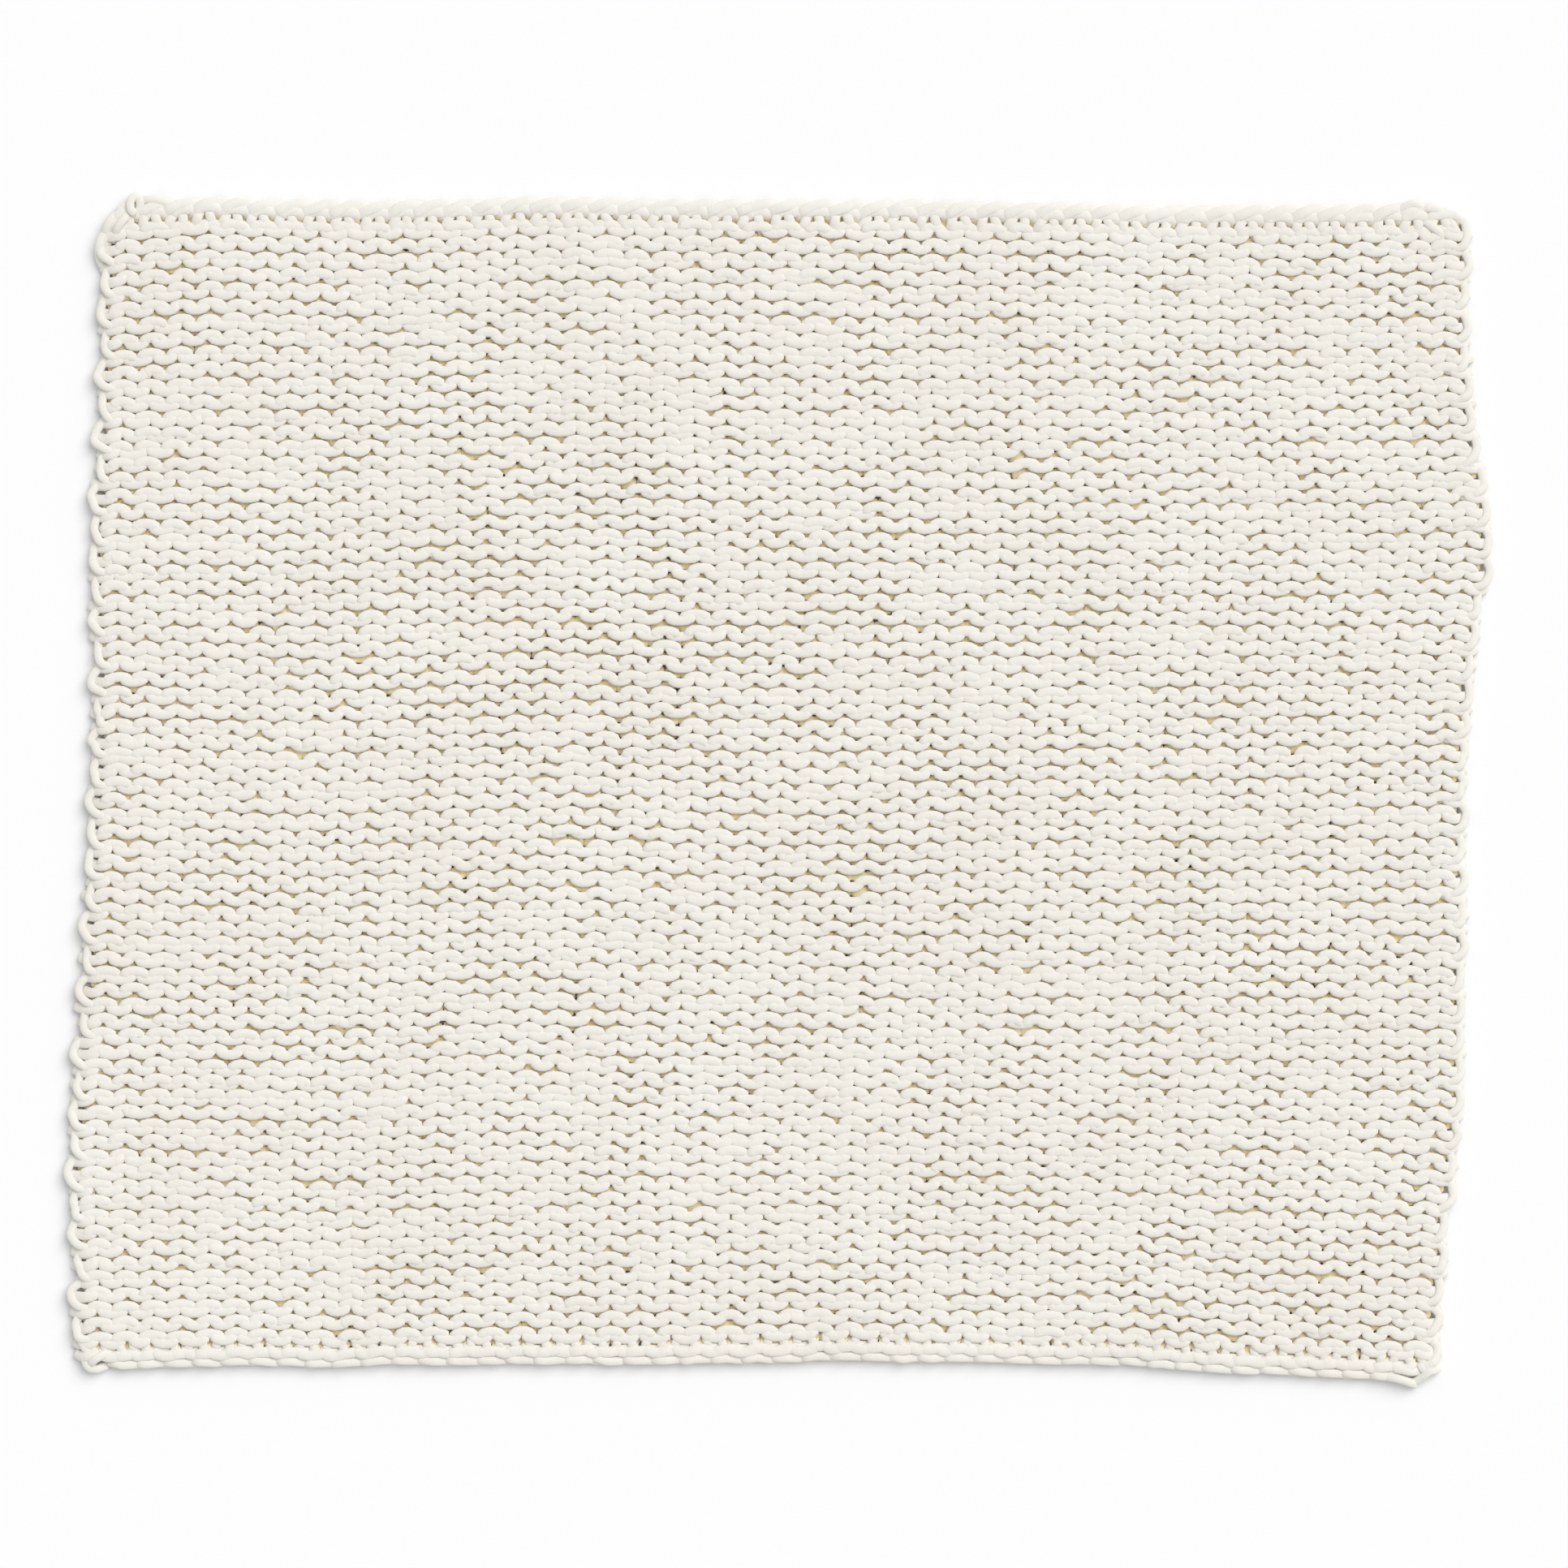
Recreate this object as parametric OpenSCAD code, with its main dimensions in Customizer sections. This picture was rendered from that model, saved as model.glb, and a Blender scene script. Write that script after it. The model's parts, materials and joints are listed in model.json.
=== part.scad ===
// Chunky knitted throw, laid out flat with its purl side up.
// Every two courses, one knitted each way, make one ridge, and the throw folds
// along the valleys between its ridges. X runs along the courses, Y up the
// throw from the cast-on edge to the bind-off edge, and Z is up.

/* [Throw] */
// Mean width between the two side edges, turning loops included
throw_w = 1524; // [1200:1:1800]
// Height from the cast-on edge to the bind-off edge
throw_h = 1287; // [1100:1:1450]
// Thickness of the knitted fabric
fabric_t = 18; // [16:0.5:22]
// Ridges in the lower band
lower_ridges = 12; // [8:1:13]
// Ridges in the middle band
middle_ridges = 13; // [11:1:14]
// Ridges in the upper band
upper_ridges = 12; // [8:1:13]

/* [Yarn] */
// Diameter of the yarn
yarn_d = 8.4; // [7:0.1:9.4]
// Clearance between one ridge and the next
ridge_gap = 0.5; // [0.3:0.1:1]
// How far the round back of a course is pressed flat where the throw lies
course_crush = 0.6; // [0.4:0.1:1.2]

/* [Edges] */
// Width of the two-strand cast-on edge
cast_on_w = 16; // [13:0.5:20]
// Width of the chained bind-off edge
bind_off_w = 12; // [10:0.5:16]
// Thickness of the cast-on and bind-off edges
edge_t = 15; // [12:0.5:16]
// How far the corners draw the cast-on edge in at each end
cast_on_inset = 24; // [20:1:40]
// How far the corners draw the bind-off edge in at each end
bind_off_inset = 40; // [30:1:60]

/* [Lie] */
// How far the top edge lies to the right of the middle of the throw
lean = 15; // [0:1:30]
// How far the side edges draw in and out over the height
edge_swell = 8; // [0:1:15]
// How far the right edge bulges above the middle
bulge = 14; // [0:1:25]

/* [Folds] */
// Clearance between two layers of the folded throw
layer_gap = 0.3; // [0.3:0.1:1]

/* [Hidden] */
$fn = 48;
ridges = lower_ridges + middle_ridges + upper_ridges;
ridge_pitch = (throw_h - cast_on_w - bind_off_w) / ridges;
course_pitch = ridge_pitch / 2;
course_r = fabric_t / 2 + course_crush;

// Turning loops: the yarn leaves the end of one course and enters the next,
// within a ridge on the right and from ridge to ridge on the left
loop_r = course_pitch / 2;
loop_reach = loop_r + yarn_d / 2 + ridge_gap;

// Each side edge is a slow wave on a leaning line; the right one also bulges.
// Heights up the throw are shares of its half height: -1 bottom, 1 top.
swell_period = 0.9;
bulge_height = 0.42;
bulge_spread = 0.16;
function height_share(y) = 2 * y / throw_h - 1;
function swell(v) = edge_swell * cos(360 * v / swell_period);
function bulging(v) = bulge * exp(-pow((v - bulge_height) / bulge_spread, 2));
function left_edge(v) = -throw_w / 2 + lean * v + swell(v);
function right_edge(v) = throw_w / 2 + lean * v - swell(v) + bulging(v);

// Where each ridge lies, with y measured from the cast-on edge
function ridge_y(i) = cast_on_w + (i - 0.5) * ridge_pitch;
function ridge_left(i) = left_edge(height_share(ridge_y(i))) + loop_reach;
function ridge_right(i) = right_edge(height_share(ridge_y(i))) - loop_reach;

// How far the corner pieces stand out past the ends of the throw
knot_rise = 9;
tail_drop = 8;

// The middle of the whole throw, which is placed over the origin
loop_lefts = [for (i = [1 : ridges]) left_edge(height_share(ridge_y(i)))];
loop_rights = [for (i = [1 : ridges]) right_edge(height_share(ridge_y(i)))];
centre_x = (min(loop_lefts) + max(loop_rights)) / 2;
centre_y = (throw_h + knot_rise - tail_drop) / 2;

// The folds run along the two valleys between the bands. The lower band closes
// onto the middle one, and then the upper band closes over both.
lower_seam_y = cast_on_w + lower_ridges * ridge_pitch;
upper_seam_y = lower_seam_y + middle_ridges * ridge_pitch;
lower_fold_z = fabric_t + layer_gap / 2;
upper_fold_z = 3 * (fabric_t + layer_gap) / 2;
echo(lower_fold_y = lower_seam_y - centre_y, lower_fold_z = lower_fold_z);
echo(upper_fold_y = upper_seam_y - centre_y, upper_fold_z = upper_fold_z);

function ridge_name(i) = str("ridge_", i < 10 ? "0" : "", i);
ridge_names = [for (i = [1 : ridges]) ridge_name(i)];
bands = [
    ["lower", 1, lower_ridges],
    ["middle", lower_ridges + 1, lower_ridges + middle_ridges],
    ["upper", lower_ridges + middle_ridges + 1, ridges]
];
left_names = [for (band = bands) str("left_selvedge_", band[0])];
right_names = [for (band = bands) str("right_selvedge_", band[0])];
edge_names = ["cast_on_edge", "bind_off_edge"];
corner_names = ["top_left_knot", "top_right_knot", "bottom_left_knot", "bottom_right_tail"];

// Moves a piece, drawn with y from the cast-on edge, into the throw's frame
module placed() {
    translate([-centre_x, -centre_y, 0])
        children();
}

// A bar along X whose outline is drawn in Y and Z
module bar(left, right) {
    translate([left, 0, 0])
        rotate([90, 0, 90])
            linear_extrude(right - left)
                children();
}

// Two round-backed courses side by side, flat where they lie
module ridge_outline() {
    intersection() {
        translate([(ridge_gap - ridge_pitch) / 2, 0])
            square([ridge_pitch - ridge_gap, fabric_t]);
        for (side = [-1, 1])
            translate([side * course_pitch / 2, fabric_t / 2])
                circle(r = course_r);
    }
}

// Half a ring of yarn that bows out towards +X
module turning_loop() {
    rotate([0, 0, -90])
        rotate_extrude(angle = 180)
            translate([loop_r, 0])
                circle(d = yarn_d);
}

// A short length of yarn with round ends, lying level
module stub(from, to) {
    run = to - from;
    length = norm(run);
    translate(from)
        rotate([0, 90, atan2(run[1], run[0])])
            rotate_extrude()
                intersection() {
                    translate([0, -yarn_d])
                        square([yarn_d, length + 2 * yarn_d]);
                    union() {
                        circle(d = yarn_d);
                        translate([0, length])
                            circle(d = yarn_d);
                        square([yarn_d / 2, length]);
                    }
                }
}

// One ridge: two courses of knitting
module ridge(i) {
    color("ivory")
        placed()
            translate([0, ridge_y(i), 0])
                bar(ridge_left(i), ridge_right(i))
                    ridge_outline();
}

// The left side edge of a band: each loop leads up from one ridge to the next
module left_selvedge(first, last) {
    color("ivory")
        placed()
            for (i = [first : last]) {
                x = min(ridge_left(i), ridge_left(min(i + 1, ridges))) - ridge_gap;
                translate([x, ridge_y(i) + course_pitch, fabric_t / 2])
                    mirror([1, 0, 0])
                        turning_loop();
            }
}

// The right side edge of a band: each loop joins the two courses of its ridge
module right_selvedge(first, last) {
    color("ivory")
        placed()
            for (i = [first : last])
                translate([ridge_right(i) + ridge_gap, ridge_y(i), fabric_t / 2])
                    turning_loop();
}

// The first row: two strands twisted together along the bottom
module cast_on_edge() {
    strand_r = edge_t / 2;
    left = ridge_left(1) + cast_on_inset;
    right = ridge_right(1) - cast_on_inset;
    color("ivory")
        placed()
            bar(left, right)
                intersection() {
                    square([cast_on_w - ridge_gap, edge_t]);
                    for (y = [strand_r, cast_on_w - strand_r])
                        translate([y, strand_r])
                            circle(r = strand_r);
                }
}

// The last row: a chain of loops drawn over one another along the top
module bind_off_edge() {
    left = ridge_left(ridges) + bind_off_inset;
    right = ridge_right(ridges) - bind_off_inset;
    color("ivory")
        placed()
            translate([0, throw_h - bind_off_w, 0])
                bar(left, right)
                    intersection() {
                        translate([ridge_gap, 0])
                            square([bind_off_w - ridge_gap, edge_t]);
                        translate([bind_off_w / 2, edge_t / 2])
                            circle(r = edge_t / 2);
                    }
}

// The starting loop of the bind-off, pulled up into a small ring
module top_left_knot() {
    ring_r = 6;
    x = ridge_left(ridges) + bind_off_inset - 14;
    y = throw_h + knot_rise - ring_r - yarn_d / 2;
    color("ivory")
        placed()
            translate([x, y, yarn_d / 2])
                rotate_extrude()
                    translate([ring_r, 0])
                        circle(d = yarn_d);
}

// The last loop of the bind-off, drawn down to the side edge
module top_right_knot() {
    x = ridge_right(ridges) - bind_off_inset + 6;
    y = throw_h - 7;
    color("ivory")
        placed()
            stub([x, y, yarn_d / 2], [x + 26, y, yarn_d / 2]);
}

// The slip knot that starts the cast-on
module bottom_left_knot() {
    x = ridge_left(1) + 12;
    y = yarn_d / 2;
    color("ivory")
        placed()
            stub([x, y, yarn_d / 2], [x - 6, cast_on_w - 5, yarn_d / 2]);
}

// The tail of the yarn, left hanging from the last cast-on stitch
module bottom_right_tail() {
    x = ridge_right(1) - cast_on_inset + 6;
    y = cast_on_w - 6;
    color("ivory")
        placed()
            stub([x, y, yarn_d / 2], [x + 6, yarn_d / 2 - tail_drop, yarn_d / 2]);
}

for (i = [1 : ridges])
    ridge(i);
for (k = [0 : len(bands) - 1])
    left_selvedge(bands[k][1], bands[k][2]);
for (k = [0 : len(bands) - 1])
    right_selvedge(bands[k][1], bands[k][2]);
cast_on_edge();
bind_off_edge();
top_left_knot();
top_right_knot();
bottom_left_knot();
bottom_right_tail();
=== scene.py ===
# A chunky knitted throw, laid flat with its purl side up. The courses come first, then
# the side edges that join them, the cast-on edge below, the bind-off edge above and the
# knots at the corners. Units are metres.
import json
import math

import bpy
import numpy as np
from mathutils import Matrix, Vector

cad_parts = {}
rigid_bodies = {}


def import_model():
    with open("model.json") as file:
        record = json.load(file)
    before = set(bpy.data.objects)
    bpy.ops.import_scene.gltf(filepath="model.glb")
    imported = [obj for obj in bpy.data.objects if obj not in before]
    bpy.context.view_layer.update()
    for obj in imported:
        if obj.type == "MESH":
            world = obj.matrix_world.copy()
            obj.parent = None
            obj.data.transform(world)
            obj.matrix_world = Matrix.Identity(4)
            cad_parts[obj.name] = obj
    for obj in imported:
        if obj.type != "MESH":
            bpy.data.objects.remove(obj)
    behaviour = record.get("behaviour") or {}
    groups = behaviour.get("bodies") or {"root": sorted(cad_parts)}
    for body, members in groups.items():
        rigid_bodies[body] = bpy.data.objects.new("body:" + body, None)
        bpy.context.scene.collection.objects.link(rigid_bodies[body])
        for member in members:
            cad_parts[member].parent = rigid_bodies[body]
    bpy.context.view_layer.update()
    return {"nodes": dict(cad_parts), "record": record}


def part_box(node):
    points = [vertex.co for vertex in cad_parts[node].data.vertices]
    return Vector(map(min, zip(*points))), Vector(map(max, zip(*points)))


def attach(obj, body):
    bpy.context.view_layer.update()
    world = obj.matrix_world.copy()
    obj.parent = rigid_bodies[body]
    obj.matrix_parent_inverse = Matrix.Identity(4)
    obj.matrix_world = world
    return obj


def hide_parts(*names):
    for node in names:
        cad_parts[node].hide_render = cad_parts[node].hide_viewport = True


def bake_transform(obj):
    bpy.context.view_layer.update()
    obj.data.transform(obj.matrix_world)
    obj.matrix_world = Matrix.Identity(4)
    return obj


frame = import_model()

# ---- Knitted ridges ---------------------------------------------------------------
# Each ridge is two courses of one thick cotton tube yarn, knitted there and back by
# hand. The purl side is up: the heads and sinkers of the loops lie in front, and their
# legs run behind. The second course is looser than the first, which makes the ridge.
ridge_names = sorted(name for name in frame["nodes"] if name.startswith("ridge_"))
ridge_boxes = [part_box(name) for name in ridge_names]
ridge_y = np.array([(low[1] + high[1]) / 2 for low, high in ridge_boxes])
ridge_left = np.array([low[0] for low, high in ridge_boxes])
ridge_right = np.array([high[0] for low, high in ridge_boxes])
ridge_pitch = (ridge_y[-1] - ridge_y[0]) / (len(ridge_y) - 1)
fabric_t = ridge_boxes[0][1][2]

stitches = 47  # in every course
yarn_d = 0.0084  # round and slack
yarn_width = 0.0119  # where it lies pressed flat in the front of the fabric
yarn_depth = 0.0078  # from front to back there
pressed = 0.62  # how square pressing makes it: 1 is an ellipse, and 0 a rectangle
leg_spread = 1.78  # how much wider the legs are pressed at the back
leg_depth = 0.60  # and how thin
neck = 0.52  # how much narrower the yarn is where it dives between the two layers
layer_depth = 0.0056  # from the middle of the back layer to that of the front
loop_lean = 0.215  # how far a loop's sides bow out, in stitches
loop_square = 0.90  # 1 makes the heads and sinkers round, and less makes them flatter
middle_ease = 0.0055  # the stitches lie a little wider in the middle of the throw
samples = 24  # rings of the mesh along one stitch
sides = 12  # points of the mesh round the yarn
dive_crowding = 0.18  # how much closer the rings lie where the yarn dives

# Hand knitting is uneven: how much the lean, place, height and depth of the loops differ,
# as standard deviations. The first is a share of the lean, the second is in stitches.
lean_unevenness = 0.21
place_unevenness = 0.042
height_unevenness = 0.0007
depth_unevenness = 0.0004

# The sides wave in and out, and the ends bow. Each table has places up the throw, or
# across it, in metres. Against them are shifts in millimetres: to the right for the left
# and right sides, and upwards for the bottom and top edges.
left_wave = ([-0.65, -0.45, -0.25, -0.05, 0.13, 0.35, 0.47, 0.65], [1, -2, 12, 3, 10, 12, 5, 1])
right_wave = ([-0.65, -0.45, -0.25, -0.13, 0.0, 0.13, 0.35, 0.65], [2, 4, 2, 13, 19, 13, 5, 4])
bottom_bow = ([-0.75, -0.60, -0.25, 0.09, 0.40, 0.50, 0.72], [1, 8, 8, 14, 7, -3, -8])
top_bow = ([-0.75, -0.62, -0.45, 0.0, 0.30, 0.42, 0.72], [1, 9, 4, 7, 4, -2, -3])
bow_from = 0.25  # the ends' bow starts this far up and down from the middle
bow_over = 0.40  # and is complete this much further on
mm = 0.001
ridge_left = ridge_left + mm * np.interp(ridge_y, *left_wave)
ridge_right = ridge_right + mm * np.interp(ridge_y, *right_wave)

# A sinker is the arc between two loops, and a head is the top of a loop. This is where
# the sinkers of the tight and the loose course lie, from the middle of their ridge, and
# how high their heads rise above them, in ridge pitches.
tight_sinker, tight_rise = -0.620, 0.735
loose_sinker, loose_rise = -0.161, 0.751


def soft_step(x):
    """0 below 0 and 1 above 1, with a smooth curve between."""
    x = np.clip(x, 0, 1)
    return x * x * (3 - 2 * x)


def wander(x, y, spacing, reach, seed):
    """A smooth random shift: a value up to reach every spacing metres, eased together."""
    cells = 80  # more than enough to cover the throw
    grid = np.random.default_rng(seed).uniform(-reach, reach, (cells, cells))
    gx, gy = x / spacing + cells / 2, y / spacing + cells / 2
    ix, iy = np.floor(gx).astype(int), np.floor(gy).astype(int)
    fx, fy = soft_step(gx - ix), soft_step(gy - iy)
    low = grid[ix, iy] * (1 - fx) + grid[ix + 1, iy] * fx
    high = grid[ix, iy + 1] * (1 - fx) + grid[ix + 1, iy + 1] * fx
    return low * (1 - fy) + high * fy


def uneven(t, amount, rng):
    """A different random amount at each sinker and head, eased into the next."""
    at = (t - t[0]) / np.pi
    k = at.astype(int)
    values = rng.normal(0, amount, k[-1] + 2)
    ease = soft_step(at - k)
    return values[k] * (1 - ease) + values[k + 1] * ease


def drift(x, y):
    """How far hand knitting and handling leave a place off the even grid, in x and y."""
    top = mm * np.interp(x, *top_bow) * soft_step((y - bow_from) / bow_over)
    bottom = mm * np.interp(x, *bottom_bow) * soft_step((-bow_from - y) / bow_over)
    # Wide, slow shifts from handling, and narrow ones from stitch to stitch
    dx = wander(x, y, 0.30, 0.0035, 1) + wander(x, y, 0.048, 0.0022, 2)
    dy = wander(x, y, 0.26, 0.0050, 3) + wander(x, y, 0.070, 0.0013, 4)
    return dx, dy + top + bottom


def on_throw(stitch, y, z):
    """Points from stitches along a course, height up the throw and height off the floor."""
    share = stitch / stitches
    share = share - middle_ease * np.sin(2 * np.pi * share)
    left = np.interp(y, ridge_y, ridge_left)
    right = np.interp(y, ridge_y, ridge_right)
    x = left + (right - left) * share
    dx, dy = drift(x, y)
    return np.stack([x + dx, y + dy, z + np.zeros_like(x)], -1)


def course(sinker_y, rise, rng):
    """(centreline, how far behind each point lies) of one course, from left to right.
    t turns once a stitch: a sinker at 0, a leg, the loop's head at pi, and a leg again."""
    end_turn = 0.5  # the yarn runs on this far past the first and the last sinker
    front_from, front_over = 0.13, 0.43  # it comes to the front over this much of cos t
    count = stitches * samples
    t = np.linspace(-end_turn, 2 * np.pi * stitches + end_turn, count)
    t = t + dive_crowding * np.sin(2 * t)
    lean = loop_lean * (1 + uneven(t, lean_unevenness, rng))
    stitch = t / (2 * np.pi) + lean * np.sin(2 * t) + uneven(t, place_unevenness, rng)
    squared = np.sign(np.cos(t)) * np.abs(np.cos(t)) ** loop_square
    y = sinker_y + rise * (1 - squared) / 2 + uneven(t, height_unevenness, rng)
    behind = 1 - soft_step((np.abs(np.cos(t)) - front_from) / front_over)
    past_end = np.maximum(-t, t - 2 * np.pi * stitches) / end_turn
    tuck = soft_step(past_end) * 0.8 * yarn_d  # its ends go in under the side turns
    z = (fabric_t + layer_depth) / 2 - layer_depth * behind - tuck
    z = z + uneven(t, depth_unevenness, rng)
    return on_throw(stitch, y, z), behind


def yarn_mesh(name, strands):
    """One mesh of yarn. Each strand is (centreline, half width, half depth, how far behind
    the front of the fabric it lies, from 0 to 1), with the width level and the depth
    upright, and has round ends. Its UV map, yarn, runs along the strand in metres and once
    round it, from underneath. Its mask attribute is 1 where it faces into the fabric, and marks
    where the material paints warm shade."""
    points, faces, uvs, painted_shade_masks = [], [], [], []
    start = 0
    turn = np.linspace(0, 2 * np.pi, sides, endpoint=False) - np.pi / 2
    level = np.sign(np.cos(turn)) * np.abs(np.cos(turn)) ** pressed
    upright = np.sign(np.sin(turn)) * np.abs(np.sin(turn)) ** pressed
    for path, half_w, half_d, behind in strands:
        along = np.gradient(path, axis=0)
        along /= np.linalg.norm(along, axis=1)[:, None]
        across = np.cross([0.0, 0.0, 1.0], along)
        across /= np.linalg.norm(across, axis=1)[:, None]
        upward = np.cross(along, across)
        # Three smaller rings round off each end
        bulge = np.array([0.25, 0.68, 0.93])
        reach = np.sqrt(1 - bulge**2) * yarn_d / 2
        size = np.concatenate([bulge, np.ones(len(path)), bulge[::-1]])
        keep = np.concatenate([[0] * 3, np.arange(len(path)), [-1] * 3])
        push = np.concatenate([-reach, np.zeros(len(path)), reach[::-1]])
        middle = path[keep] + along[keep] * push[:, None]
        half_w = (np.zeros(len(path)) + half_w)[keep] * size
        half_d = (np.zeros(len(path)) + half_d)[keep] * size
        ring = middle[:, None, :]
        ring = ring + (half_w[:, None] * level)[:, :, None] * across[keep][:, None, :]
        ring = ring + (half_d[:, None] * upright)[:, :, None] * upward[keep][:, None, :]
        behind = (np.zeros(len(path)) + behind)[keep]
        # Mask for painted shade: the upper side of the parts lying behind, which faces into the
        # gaps, gets 1
        painted_shade_masks.append((behind[:, None] * soft_step(0.5 + upright)).ravel())
        rings = len(middle)
        i, j = np.meshgrid(np.arange(rings - 1), np.arange(sides), indexing="ij")
        k = (j + 1) % sides
        here, beyond = i * sides, (i + 1) * sides
        quads = np.stack([here + j, here + k, beyond + k, beyond + j], -1)
        steps = np.linalg.norm(np.diff(middle, axis=0), axis=1)
        length = np.concatenate([[0], np.cumsum(steps)])
        u = np.stack([length[i], length[i], length[i + 1], length[i + 1]], -1)
        v = np.stack([j, j + 1, j + 1, j], -1) / sides
        points.append(ring.reshape(-1, 3))
        faces += (quads.reshape(-1, 4) + start).tolist()
        uvs.append(np.stack([u, v], -1).reshape(-1, 2))
        for first, flip in ((0, -1), ((rings - 1) * sides, 1)):
            cap = (np.arange(sides)[::flip] + first + start).tolist()
            faces.append(cap)
            uvs.append(np.tile([length[0 if first == 0 else -1], 0.5], (sides, 1)))
        start += rings * sides
    mesh = bpy.data.meshes.new(name)
    mesh.from_pydata(np.concatenate(points).tolist(), [], faces)
    uv_map = mesh.uv_layers.new(name="yarn").uv
    uv_map.foreach_set("vector", np.concatenate(uvs).astype(np.float32).ravel())
    painted_shade_mask = mesh.attributes.new("painted_shade_mask", "FLOAT", "POINT")
    painted_shade_mask.data.foreach_set("value", np.concatenate(painted_shade_masks).astype(np.float32))
    mesh.polygons.foreach_set("use_smooth", np.ones(len(mesh.polygons), dtype=bool))
    mesh.update()
    piece = bpy.data.objects.new(name, mesh)
    bpy.context.scene.collection.objects.link(piece)
    return piece


def to_linear(hex_colour):
    """An sRGB hex colour as linear RGBA."""
    srgb = np.array([int(hex_colour[k : k + 2], 16) for k in (1, 3, 5)]) / 255
    linear = np.where(srgb <= 0.04045, srgb / 12.92, ((srgb + 0.055) / 1.055) ** 2.4)
    return (*linear.tolist(), 1.0)


def add_node(material, kind, inputs, **settings):
    """Adds a node with its settings. Each input takes a value, or a link from a socket."""
    made = material.node_tree.nodes.new(kind)
    for name, value in settings.items():
        setattr(made, name, value)
    for name, value in inputs.items():
        if isinstance(value, bpy.types.NodeSocket):
            material.node_tree.links.new(value, made.inputs[name])
        else:
            made.inputs[name].default_value = value
    return made


# Brushed cotton tube yarn, undyed: a knitted tube with a short raised pile. It is dead
# matte with a soft bright rim, and fine ribs run round it where the pile stands up. Where
# the loops face into the fabric they get painted warm shade, a yellower, darker cream for the
# shade between the yarns, which shows in the gaps.
brushed_cotton = bpy.data.materials.new("brushed_cotton_yarn")
brushed_cotton.use_nodes = True
brushed_cotton.node_tree.nodes.clear()
cream = to_linear("#EAE7E0")
warm_cream = to_linear("#E6E2D9")
# Painted warm shade, for the shade between the yarns, put where the yarn faces into the fabric
painted_warm_shade = to_linear("#EADBAE")  # inside the fabric
dye_patch = 0.16  # the undyed cotton varies a little from one hand's width to the next
mottle = 0.006
rib_pitch = 0.0020  # the real ribs are under 1 mm apart, drawn coarser so that they show
ribs_round = 2.2  # how often the ribs break up round the yarn
pile_grain = 0.0011  # the real pile is finer too
pile_share = 0.35  # of the relief, beside the ribs
relief_height = 0.0008
relief_strength = 0.45
where = add_node(brushed_cotton, "ShaderNodeTexCoord", {})
broad = add_node(
    brushed_cotton,
    "ShaderNodeTexNoise",
    {"Vector": where.outputs["Object"], "Scale": 1 / dye_patch, "Detail": 2.0},
)
speck = add_node(
    brushed_cotton,
    "ShaderNodeTexNoise",
    {"Vector": where.outputs["Object"], "Scale": 1 / mottle, "Detail": 3.0},
)
both = add_node(
    brushed_cotton,
    "ShaderNodeMath",
    {0: broad.outputs["Fac"], 1: speck.outputs["Fac"]},
    operation="ADD",
)
# The two noises together mostly lie between 0.75 and 1.25
tone = add_node(
    brushed_cotton,
    "ShaderNodeMapRange",
    {"Value": both.outputs[0], "From Min": 0.75, "From Max": 1.25},
)
# A colour Mix takes its two colours at inputs 6 and 7 and gives the result at output 2
outside = add_node(
    brushed_cotton,
    "ShaderNodeMix",
    {"Factor": tone.outputs["Result"], 6: cream, 7: warm_cream},
    data_type="RGBA",
)
# The mask and the mix that paint the warm shade into the colour where the yarn faces into the
# fabric
painted_shade_mask = add_node(brushed_cotton, "ShaderNodeAttribute", {}, attribute_name="painted_shade_mask")
colour = add_node(
    brushed_cotton,
    "ShaderNodeMix",
    {"Factor": painted_shade_mask.outputs["Fac"], 6: outside.outputs[2], 7: painted_warm_shade},
    data_type="RGBA",
)
along_yarn = add_node(brushed_cotton, "ShaderNodeUVMap", {}, uv_map="yarn")
rib_space = add_node(
    brushed_cotton,
    "ShaderNodeVectorMath",
    {0: along_yarn.outputs["UV"], 1: (1 / rib_pitch, ribs_round, 1.0)},
    operation="MULTIPLY",
)
ribs = add_node(
    brushed_cotton,
    "ShaderNodeTexNoise",
    {"Vector": rib_space.outputs[0], "Scale": 1.0, "Detail": 2.0, "Roughness": 0.6},
)
pile = add_node(
    brushed_cotton,
    "ShaderNodeTexNoise",
    {"Vector": where.outputs["Object"], "Scale": 1 / pile_grain, "Detail": 2.0},
)
surface = add_node(
    brushed_cotton,
    "ShaderNodeMath",
    {0: pile.outputs["Fac"], 1: pile_share, 2: ribs.outputs["Fac"]},
    operation="MULTIPLY_ADD",
)
relief = add_node(
    brushed_cotton,
    "ShaderNodeBump",
    {"Height": surface.outputs[0], "Strength": relief_strength, "Distance": relief_height},
)
cotton = add_node(
    brushed_cotton,
    "ShaderNodeBsdfPrincipled",
    {
        "Base Color": colour.outputs[2],
        "Roughness": 0.92,
        "IOR": 1.45,
        "Specular IOR Level": 0.15,
        "Sheen Weight": 0.18,
        "Sheen Roughness": 0.5,
        "Normal": relief.outputs["Normal"],
    },
)
add_node(brushed_cotton, "ShaderNodeOutputMaterial", {"Surface": cotton.outputs["BSDF"]})

behaviour = frame["record"]["behaviour"]
band_of = {node: band for band, nodes in behaviour["bodies"].items() for node in nodes}
bend_reach = 0.026  # how near a fold, on each side, a piece counts as reaching over it


def finish_piece(piece, node):
    """Gives a piece its yarn and ties it to its band. What reaches over a fold is instead fixed
    where it lies, tied to no band.
    """
    piece.data.materials.append(brushed_cotton)
    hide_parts(node)
    heights = np.array([corner[1] for corner in piece.bound_box])
    for joint in behaviour["joints"]:
        seam = joint["pos_m"][1]
        if heights.min() < seam + bend_reach and heights.max() > seam - bend_reach:
            below, above = joint["parent"], joint["child"]
            if above == "lower_band":
                below, above = above, below
            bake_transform(piece)
            return
    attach(piece, band_of[node])


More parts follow.
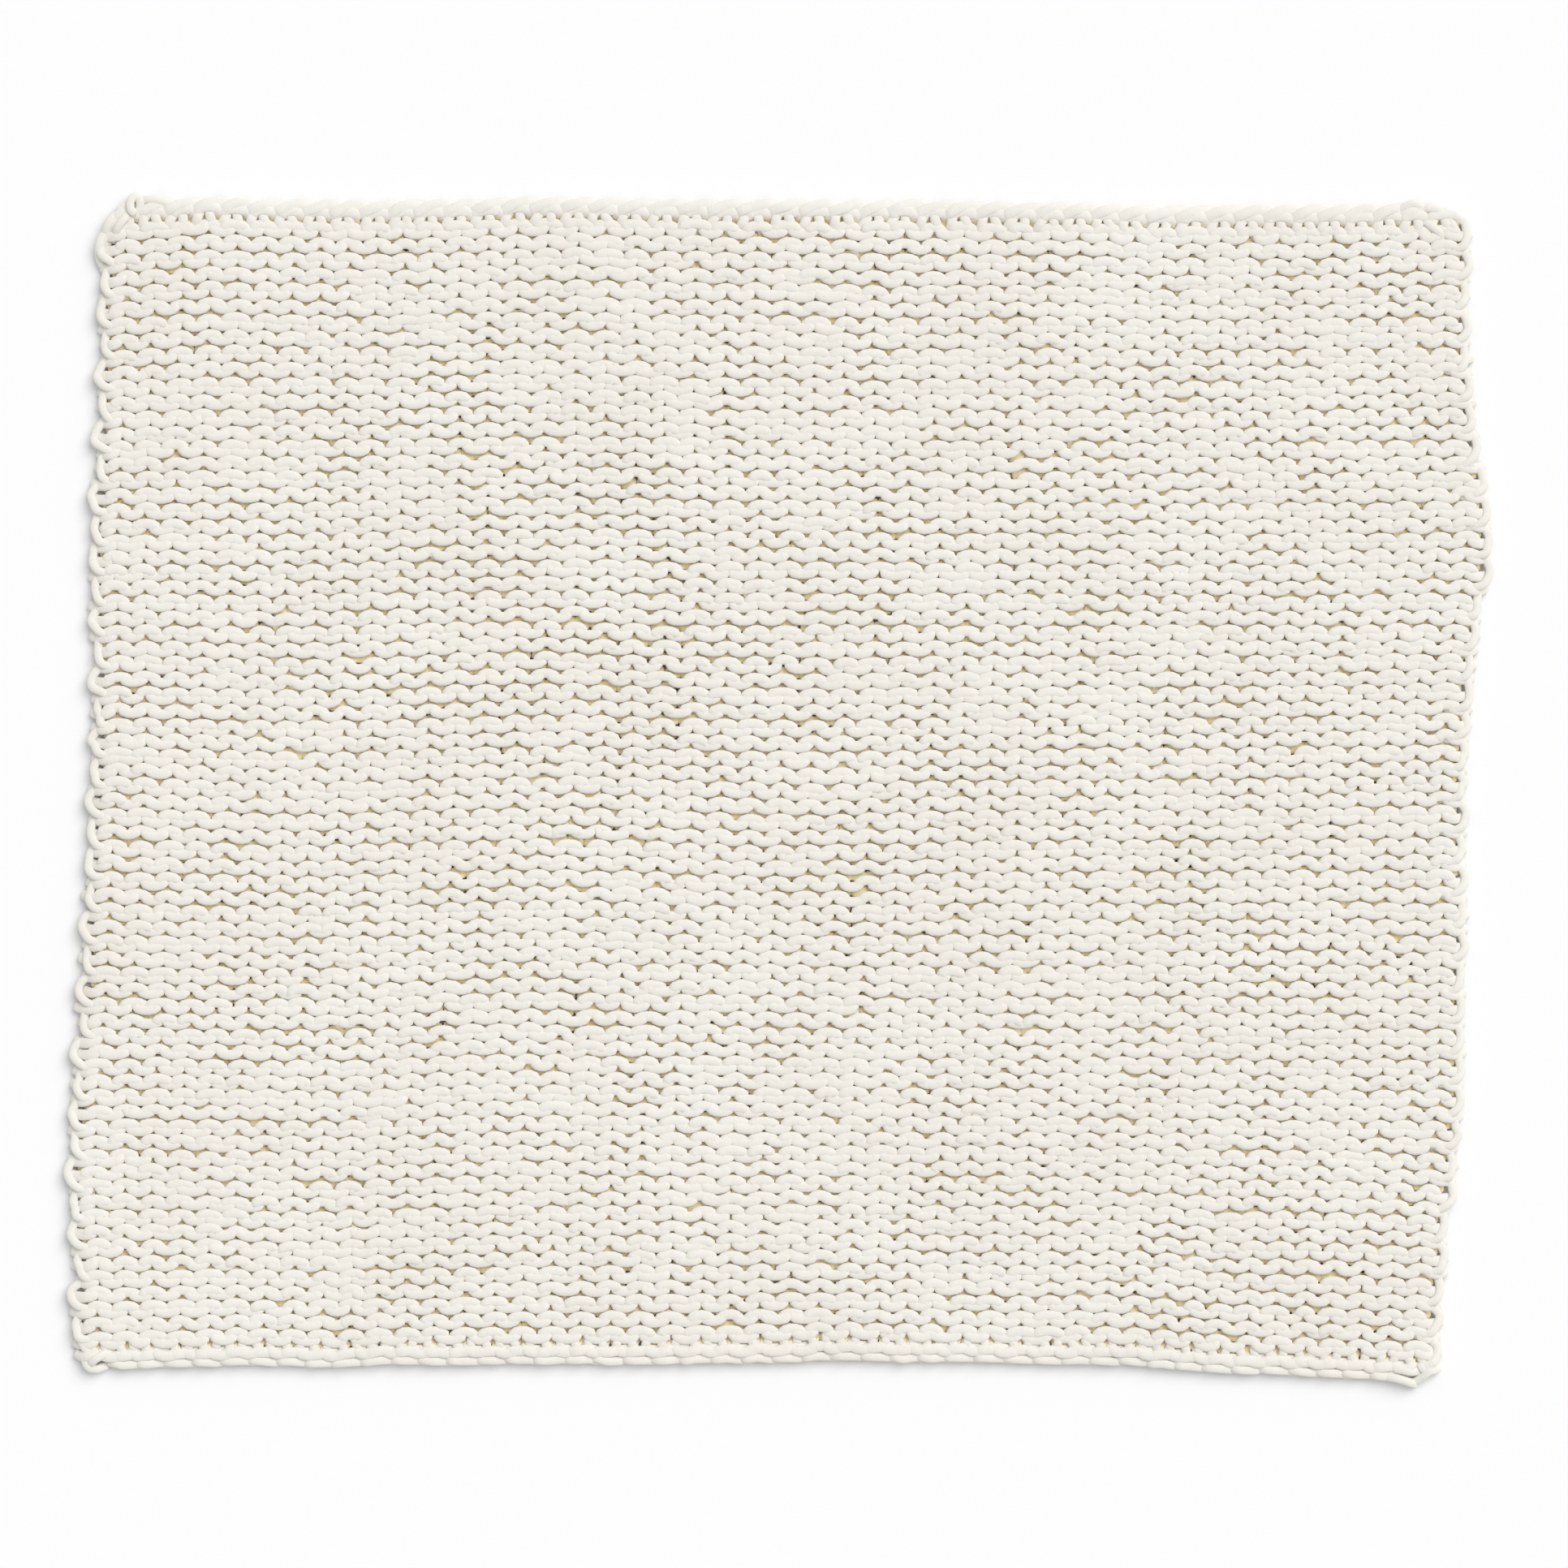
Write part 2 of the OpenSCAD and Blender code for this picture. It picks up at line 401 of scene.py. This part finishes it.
rows = (("tight", tight_sinker, tight_rise), ("loose", loose_sinker, loose_rise))
for number, (name, y) in enumerate(zip(ridge_names, ridge_y)):
    rng = np.random.default_rng(100 + number)
    for row, sinker, rise in rows:
        path, behind = course(y + sinker * ridge_pitch, rise * ridge_pitch, rng)
        # The yarn is up to a tenth thinner or fatter, from one stitch or two to the next
        # and from one area to the next
        slack = wander(path[:, 0], path[:, 1], 0.055, 0.070, 5)
        slack += wander(path[:, 0], path[:, 1], 0.280, 0.035, 6)
        diving = 4 * behind * (1 - behind)
        spread = 1 + (leg_spread - 1) * behind - neck * diving
        half_width = yarn_width / 2 * (1 - slack) * spread
        half_depth = yarn_depth / 2 * (1 - (1 - leg_depth) * behind)
        knitted = yarn_mesh(f"{name}_{row}_course", [(path, half_width, half_depth, behind)])
        finish_piece(knitted, name)

# ---- Left side edge ---------------------------------------------------------------
# At the end of a course the yarn turns and goes back. The left turns lead up from one
# ridge to the next, and every second one is slack and stands off the fabric as a loop.
turn_width = 0.0096  # the yarn is pressed less at the edges, and stays rounder
turn_shake = 0.0009
turn_points = 44


def through(points, count):
    """A smooth curve of count points through the given ones."""
    points = np.array(points, float)
    before = 2 * points[:1] - points[1:2]
    after = 2 * points[-1:] - points[-2:-1]
    padded = np.concatenate([before, points, after])
    t = np.linspace(0, len(points) - 1, count)
    k = np.minimum(t.astype(int), len(points) - 2)
    f = (t - k)[:, None]
    a, b, c, d = (padded[k + shift] for shift in range(4))
    bend = (2 * a - 5 * b + 4 * c - d) * f**2
    twist = (3 * b - a - 3 * c + d) * f**3
    return 0.5 * (2 * b + (c - a) * f + bend + twist)


def side_turn(edge_x, out, y, bow, rng):
    """The yarn at a side edge: out over the end of its ridge, round past edge_x by bow, and
    in again under the next turn. out is 1 on the right and -1 on the left."""
    route = [  # how far out, how far up in ridge pitches, and height off the floor
        (-0.018, -0.50, 0.0055),
        (-0.008, -0.53, 0.0105),
        (0.35 * bow, -0.44, 0.0125),
        (0.95 * bow, -0.20, 0.0110),
        (bow, 0.06, 0.0090),
        (0.55 * bow, 0.34, 0.0075),
        (-0.006, 0.46, 0.0055),
        (-0.016, 0.50, 0.0050),
    ]
    shake = rng.normal(0, turn_shake, (len(route), 2))
    points = [
        (edge_x + out * (o + dx), y + u * ridge_pitch + dy, z)
        for (o, u, z), (dx, dy) in zip(route, shake)
    ]
    return through(points, turn_points)


def side_edge(side, out, edge, shift, slack_bow, snug_bow):
    """The side edge of each band, in two pieces, so that each reaches one fold at most. Its
    turns lie at edge, shift above the middle of their ridges, slack and snug by turns."""
    for band in ("lower", "middle", "upper"):
        node = f"{side}_selvedge_{band}"
        low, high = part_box(node)
        turn_y = ridge_y + shift
        leads_on = turn_y < ridge_y[-1] + ridge_pitch / 4  # nothing follows the last ridge
        in_band = np.flatnonzero(leads_on & (low[1] < turn_y) & (turn_y < high[1])).tolist()
        half = len(in_band) // 2
        for part, numbers in (("a", in_band[:half]), ("b", in_band[half:])):
            strands = []
            for k in numbers:
                rng = np.random.default_rng(500 + 2 * k + out)
                bow = (slack_bow if k % 2 else snug_bow) * rng.uniform(0.85, 1.15)
                y = turn_y[k]
                edge_x = np.interp(y, ridge_y, edge)
                dx, dy = drift(edge_x, y)
                path = side_turn(edge_x + dx, out, y + dy, bow, rng)
                strands.append((path, turn_width / 2, yarn_d / 2, 0))
            turns = yarn_mesh(f"{side}_turns_{band}_{part}", strands)
            finish_piece(turns, node)


side_edge("left", -1, ridge_left, ridge_pitch / 2, slack_bow=0.0125, snug_bow=0.0075)

# ---- Right side edge --------------------------------------------------------------
# The right turns each join the two courses of one ridge. They were pulled snugger than
# the left ones, and lie over one another like the links of a chain.
side_edge("right", 1, ridge_right, 0.0, slack_bow=0.0100, snug_bow=0.0075)

# ---- Cast-on edge -----------------------------------------------------------------
# The first row was cast on with two strands of the same yarn. They lie one above the
# other along the bottom edge as two rows of long slanting links, a stitch to each.
link_shake = (0.025, 0.0006, 0.0004)  # along in stitches, up and off the floor in metres
link_points = 26


def chain_row(at, first, end, route, width, seed):
    """A row of links, one for each stitch from first up to end. route is a link's own path:
    stitches along the edge, height above at, and height off the floor."""
    strands = []
    rng = np.random.default_rng(seed)
    for k in range(first, end):
        shake = rng.normal(0, 1, (len(route), 3)) * link_shake
        points = np.array(route, float) + shake
        places = on_throw(k + points[:, 0], at + points[:, 1], points[:, 2])
        strands.append((through(places, link_points), width / 2, yarn_depth / 2, 0))
    return strands


low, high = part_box("cast_on_edge")
cast_on_at = (low[1] + high[1]) / 2
upper_width = 0.0120
lower_width = 0.0102
foot_width = 0.0100
cast_on_seed = 12
upper_link = [
    (-0.16, 0.0036, 0.0062),
    (0.06, 0.0046, 0.0112),
    (0.40, 0.0062, 0.0122),
    (0.80, 0.0076, 0.0105),
    (1.06, 0.0082, 0.0075),
    (1.20, 0.0080, 0.0052),
]
lower_link = [
    (-0.10, -0.0020, 0.0070),
    (0.08, -0.0034, 0.0108),
    (0.40, -0.0040, 0.0106),
    (0.80, -0.0040, 0.0088),
    (1.06, -0.0038, 0.0064),
    (1.18, -0.0036, 0.0050),
]
left_foot = [
    (0.30, 0.0060, 0.0060),
    (0.27, 0.0130, 0.0105),
    (0.24, 0.0190, 0.0100),
    (0.22, 0.0240, 0.0060),
]
right_foot = [
    (0.70, 0.0060, 0.0060),
    (0.73, 0.0130, 0.0105),
    (0.76, 0.0190, 0.0100),
    (0.78, 0.0240, 0.0060),
]
cast_on_links = chain_row(cast_on_at, 1, stitches - 1, upper_link, upper_width, cast_on_seed)
cast_on_links += chain_row(cast_on_at, 1, stitches - 1, lower_link, lower_width, cast_on_seed)
cast_on_links += chain_row(cast_on_at, 0, stitches, left_foot, foot_width, cast_on_seed)
cast_on_links += chain_row(cast_on_at, 0, stitches, right_foot, foot_width, cast_on_seed)
finish_piece(yarn_mesh("cast_on_links", cast_on_links), "cast_on_edge")

# ---- Bind-off edge ----------------------------------------------------------------
# The last row was bound off by drawing each loop over the next, which leaves a chain of
# links along the top edge with the last heads hanging from it.
low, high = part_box("bind_off_edge")
bind_off_at = (low[1] + high[1]) / 2
link_width = 0.0124
leg_width = 0.0112
bind_off_seed = 13
bind_link = [
    (-0.22, -0.0080, 0.0080),
    (0.02, -0.0042, 0.0122),
    (0.38, 0.0006, 0.0128),
    (0.78, 0.0030, 0.0108),
    (1.10, 0.0028, 0.0075),
    (1.26, 0.0018, 0.0055),
]
left_leg = [
    (-0.02, -0.0260, 0.0055),
    (0.04, -0.0190, 0.0110),
    (0.12, -0.0110, 0.0116),
    (0.22, -0.0045, 0.0085),
    (0.28, 0.0000, 0.0060),
]
right_leg = [
    (0.66, -0.0260, 0.0055),
    (0.60, -0.0185, 0.0108),
    (0.54, -0.0105, 0.0114),
    (0.52, -0.0040, 0.0085),
    (0.50, 0.0000, 0.0060),
]
bind_links = chain_row(bind_off_at, 1, stitches - 1, bind_link, link_width, bind_off_seed)
bind_links += chain_row(bind_off_at, 0, stitches, left_leg, leg_width, bind_off_seed)
bind_links += chain_row(bind_off_at, 0, stitches, right_leg, leg_width, bind_off_seed)
finish_piece(yarn_mesh("bind_off_links", bind_links), "bind_off_edge")

# ---- Corner knots -----------------------------------------------------------------
# The yarn starts in a slip knot at the bottom left and its tail is drawn in at the
# bottom right. At the top, the first link is pulled up into a small ring at the left,
# and the last one is drawn down to the side edge at the right.
corner_points = 40


def corner_piece(name, node, routes):
    """Short lengths of yarn at a corner, each through its own points."""
    paths = [through(route, corner_points) for route in routes]
    strands = [(path, turn_width / 2, yarn_d / 2, 0) for path in paths]
    finish_piece(yarn_mesh(name, strands), node)


def beside(x, y, route):
    """A route given from a place at a corner, moved to that place."""
    shift_x, shift_y = drift(x, y)
    return [(x + shift_x + dx, y + shift_y + dy, z) for dx, dy, z in route]


low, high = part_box("top_left_knot")
x, y = (low[0] + high[0]) / 2, (low[1] + high[1]) / 2
ring_turn = np.linspace(-0.6 * np.pi, 1.4 * np.pi, 12)
ring = [(0.0055 * np.cos(a), 0.0090 * np.sin(a), 0.0115 + 0.0010 * a) for a in ring_turn]
first = [
    (0.004, 0.000, 0.005),
    (-0.008, 0.000, 0.0100),
    (-0.018, -0.008, 0.0110),
    (-0.023, -0.019, 0.0075),
    (-0.022, -0.026, 0.005),
]
second = [
    (-0.012, -0.006, 0.005),
    (-0.023, -0.012, 0.0110),
    (-0.031, -0.023, 0.0120),
    (-0.034, -0.036, 0.0075),
    (-0.031, -0.043, 0.005),
]
third = [
    (-0.026, -0.020, 0.005),
    (-0.035, -0.032, 0.0095),
    (-0.040, -0.045, 0.0105),
    (-0.040, -0.058, 0.007),
    (-0.037, -0.066, 0.005),
]
under = [
    (-0.001, -0.010, 0.0050),
    (-0.010, -0.014, 0.0140),
    (-0.019, -0.025, 0.0145),
    (-0.023, -0.039, 0.006),
]
across = [
    (0.004, 0.004, 0.006),
    (0.014, 0.006, 0.011),
    (0.030, 0.004, 0.0115),
    (0.046, -0.001, 0.006),
]
routes = [beside(x, y, route) for route in (ring, first, second, third, under, across)]
corner_piece("top_left_ring", "top_left_knot", routes)

low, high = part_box("top_right_knot")
x, y = low[0], (low[1] + high[1]) / 2
drawn = [
    (-0.034, 0.000, 0.006),
    (-0.018, 0.006, 0.011),
    (-0.006, 0.010, 0.0125),
    (0.004, 0.004, 0.010),
    (0.008, -0.006, 0.006),
]
end = [
    (-0.004, 0.000, 0.005),
    (0.008, 0.005, 0.011),
    (0.020, 0.003, 0.012),
    (0.029, -0.004, 0.009),
    (0.032, -0.014, 0.005),
]
last = [
    (0.018, -0.004, 0.005),
    (0.030, -0.006, 0.0105),
    (0.037, -0.014, 0.0115),
    (0.038, -0.026, 0.009),
    (0.034, -0.036, 0.005),
]
crossing = [
    (0.000, -0.006, 0.006),
    (0.010, -0.012, 0.0125),
    (0.022, -0.022, 0.0125),
    (0.028, -0.034, 0.006),
]
routes = [beside(x, y, route) for route in (drawn, end, last, crossing)]
corner_piece("top_right_link", "top_right_knot", routes)

low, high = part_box("bottom_left_knot")
x, y = (low[0] + high[0]) / 2, (low[1] + high[1]) / 2
slip = [
    (-0.004, 0.018, 0.005),
    (-0.008, 0.006, 0.0095),
    (-0.005, -0.005, 0.0100),
    (0.004, -0.008, 0.0085),
    (0.014, -0.005, 0.005),
]
wrap = [
    (0.024, 0.012, 0.006),
    (0.012, 0.008, 0.0130),
    (0.002, 0.002, 0.0138),
    (-0.004, -0.005, 0.0075),
]
shoulder = [
    (-0.014, 0.040, 0.007),
    (-0.012, 0.024, 0.0105),
    (-0.005, 0.012, 0.0105),
    (0.010, 0.006, 0.006),
]
routes = [beside(x, y, route) for route in (slip, wrap, shoulder)]
corner_piece("bottom_left_slip_knot", "bottom_left_knot", routes)

low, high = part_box("bottom_right_tail")
x, y = high[0], low[1]
tail = [
    (-0.046, 0.014, 0.008),
    (-0.028, 0.011, 0.012),
    (-0.014, 0.007, 0.0110),
    (-0.006, 0.004, 0.0065),
]
side = [
    (0.010, 0.046, 0.006),
    (0.012, 0.032, 0.0105),
    (0.008, 0.018, 0.0120),
    (-0.002, 0.009, 0.008),
    (-0.008, 0.006, 0.006),
]
foot = [
    (-0.040, 0.024, 0.006),
    (-0.024, 0.021, 0.0110),
    (-0.010, 0.018, 0.0115),
    (0.003, 0.020, 0.006),
]
routes = [beside(x, y, route) for route in (tail, side, foot)]
corner_piece("bottom_right_tail_end", "bottom_right_tail", routes)

# ---- Floor, light and camera ------------------------------------------------------
# The throw lies on a plain white floor under a large soft light from the top right,
# seen from straight above through a long lens.
floor_size = 30.0
floor_mesh = bpy.data.meshes.new("floor")
far = floor_size / 2
floor_corners = [(-far, -far, 0), (far, -far, 0), (far, far, 0), (-far, far, 0)]
floor_mesh.from_pydata(floor_corners, [], [(0, 1, 2, 3)])
floor = bpy.data.objects.new("floor", floor_mesh)
bpy.context.scene.collection.objects.link(floor)
# Matt white board: smooth and bright, with no shine
white_board = bpy.data.materials.new("matt_white_board")
white_board.use_nodes = True
board = white_board.node_tree.nodes["Principled BSDF"]
board.inputs["Base Color"].default_value = to_linear("#F5F5F6")
board.inputs["Roughness"].default_value = 0.9
floor_mesh.materials.append(white_board)

room = bpy.data.worlds.new("studio")
room.use_nodes = True
room.node_tree.nodes["Background"].inputs["Color"].default_value = (1.0, 1.0, 1.0, 1.0)
room.node_tree.nodes["Background"].inputs["Strength"].default_value = 0.60
bpy.context.scene.world = room

softbox = bpy.data.lights.new("large_far_softbox", "SUN")
softbox.angle = math.radians(50)
softbox.energy = 1.92
softbox_at = bpy.data.objects.new("large_far_softbox", softbox)
softbox_at.location = (1.8, 2.0, 3.4)
softbox_at.rotation_euler = (-softbox_at.location).to_track_quat("-Z", "Y").to_euler()
bpy.context.scene.collection.objects.link(softbox_at)

frame_width = 1.734  # what the camera takes in at the height of the floor
camera_height = 8.0
camera = bpy.data.cameras.new("camera")
camera.sensor_width = 36.0
camera.lens = camera.sensor_width * camera_height / frame_width
camera.clip_end = 100.0
camera_at = bpy.data.objects.new("camera", camera)
camera_at.location = (0.009, 0.005, camera_height)
bpy.context.scene.collection.objects.link(camera_at)
bpy.context.scene.camera = camera_at
bpy.context.scene.view_settings.view_transform = "Standard"
